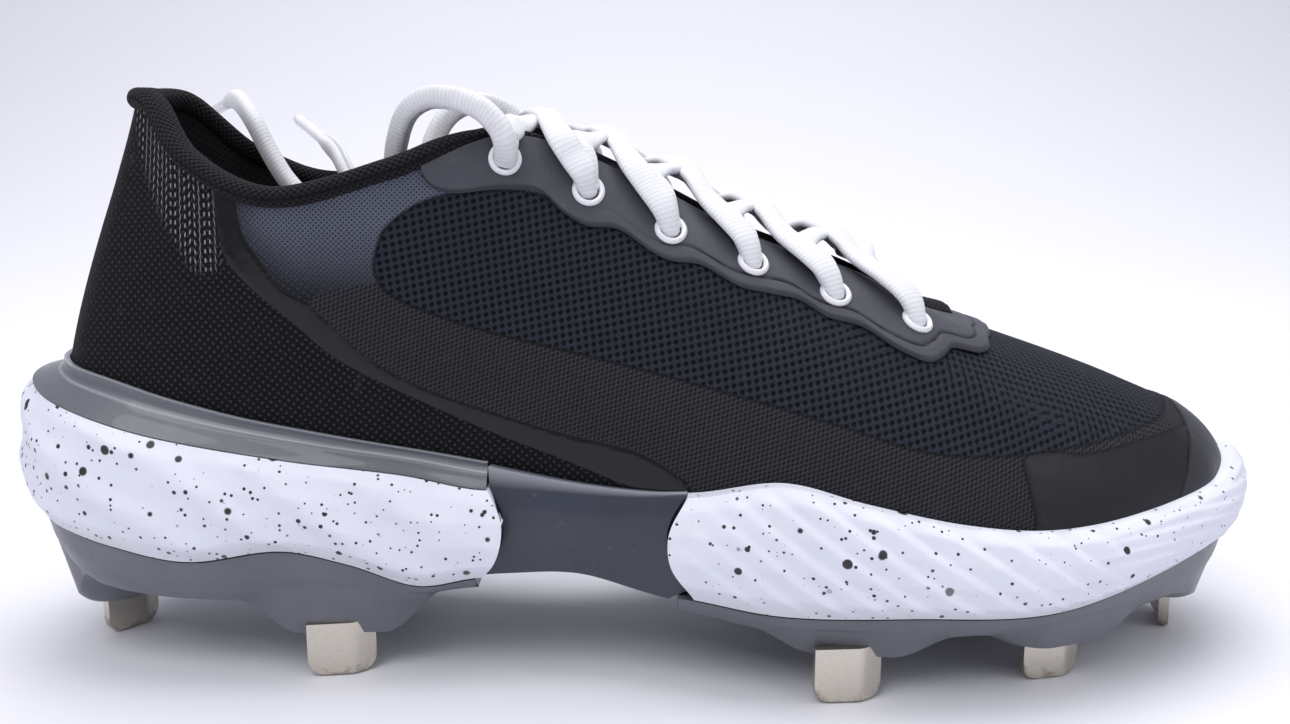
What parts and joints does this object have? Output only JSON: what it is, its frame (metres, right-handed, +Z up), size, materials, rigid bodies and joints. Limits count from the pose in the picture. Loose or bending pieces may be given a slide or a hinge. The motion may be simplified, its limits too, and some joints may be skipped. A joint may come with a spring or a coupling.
{
  "type": "baseball cleat",
  "caption": "Low-cut baseball cleat for the right foot: black mesh upper, speckled white foam midsole, grey sole plates and metal blade studs, white laces",
  "frame": {"origin": "centre of the sole's outline box, on the floor that the studs stand on", "axes": "+X from heel to toe, +Y towards the inner (medial) side of the right foot, +Z up"},
  "size_m": [0.2996, 0.1038, 0.1335],
  "materials": {
    "black_knit": "fine engineered mesh",
    "slate_film": "matte fused film",
    "toe_film": "satin fused film over mesh",
    "collar_knit": "soft padded knit",
    "white_foam": "moulded foam with black speckles",
    "slate_bridge": "satin moulded",
    "grey_plate": "satin moulded",
    "blade_steel": "scuffed steel",
    "white_lace": "flat woven",
    "white_ring": "smooth",
    "insole_cloth": "brushed cloth"
  },
  "bodies": {
    "root": {"upper": "black_knit", "eyestay_lateral": "slate_film", "eyestay_medial": "slate_film", "toe_guard": "toe_film", "eyelet_lateral_1": "white_ring", "eyelet_lateral_2": "white_ring", "eyelet_lateral_3": "white_ring", "eyelet_lateral_4": "white_ring", "eyelet_lateral_5": "white_ring", "eyelet_lateral_6": "white_ring", "eyelet_medial_1": "white_ring", "eyelet_medial_2": "white_ring", "eyelet_medial_3": "white_ring", "eyelet_medial_4": "white_ring", "eyelet_medial_5": "white_ring", "eyelet_medial_6": "white_ring", "collar": "collar_knit", "tongue": "collar_knit", "insole": "insole_cloth", "midsole_heel": "white_foam", "midsole_forefoot": "white_foam", "midfoot_bridge": "slate_bridge", "heel_clip": "grey_plate", "heel_plate": "grey_plate", "forefoot_plate": "grey_plate", "stud_heel_rear": "blade_steel", "stud_heel_lateral": "blade_steel", "stud_heel_medial": "blade_steel", "stud_ball_lateral": "blade_steel", "stud_ball_medial": "blade_steel", "stud_fore_lateral": "blade_steel", "stud_fore_medial": "blade_steel", "stud_toe": "blade_steel", "lace_crossings": "white_lace", "lace_end_lateral": "white_lace", "lace_end_medial": "white_lace", "aglet_lateral": "white_ring", "aglet_medial": "white_ring"}
  },
  "joints": []
}
